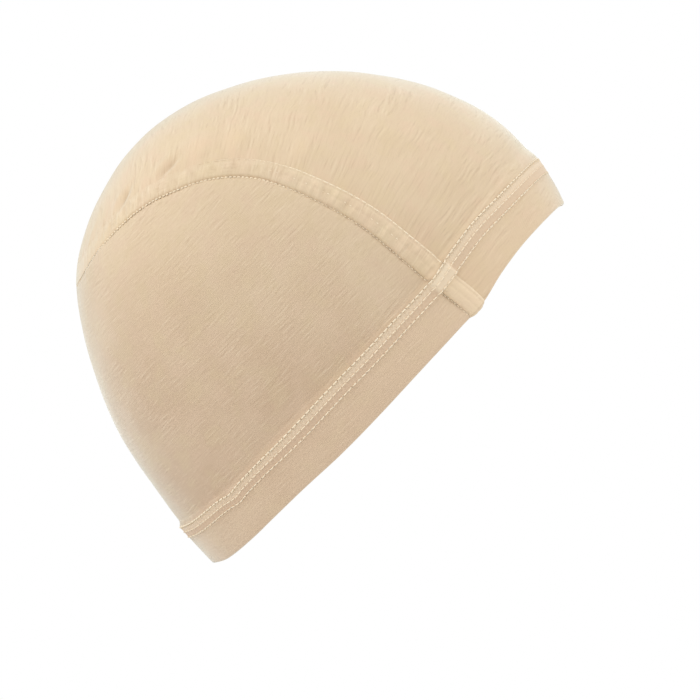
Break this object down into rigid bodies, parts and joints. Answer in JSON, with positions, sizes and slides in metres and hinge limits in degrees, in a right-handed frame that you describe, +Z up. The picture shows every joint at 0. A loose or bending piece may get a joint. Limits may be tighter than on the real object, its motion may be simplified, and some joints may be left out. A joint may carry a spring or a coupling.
{
  "type": "wig cap",
  "caption": "Close-fitting knit cap worn under a wig, with a seamed crown panel, one side panel and a turned, cover-stitched hem.",
  "frame": {"origin": "inner face of the crown at its highest point, where the top of the head bears", "axes": "+Z up, the wearer faces -Y, the wearer's right is -X"},
  "size_m": [0.1498, 0.1834, 0.1835],
  "materials": {
    "jersey": "soft matte heathered knit",
    "thread": "slightly glossy sewing thread"
  },
  "bodies": {
    "root": {"crown_panel": "jersey", "side_panel": "jersey", "seam_welt": "jersey", "hem_band": "jersey", "hem_coverstitch": "thread"}
  },
  "joints": []
}
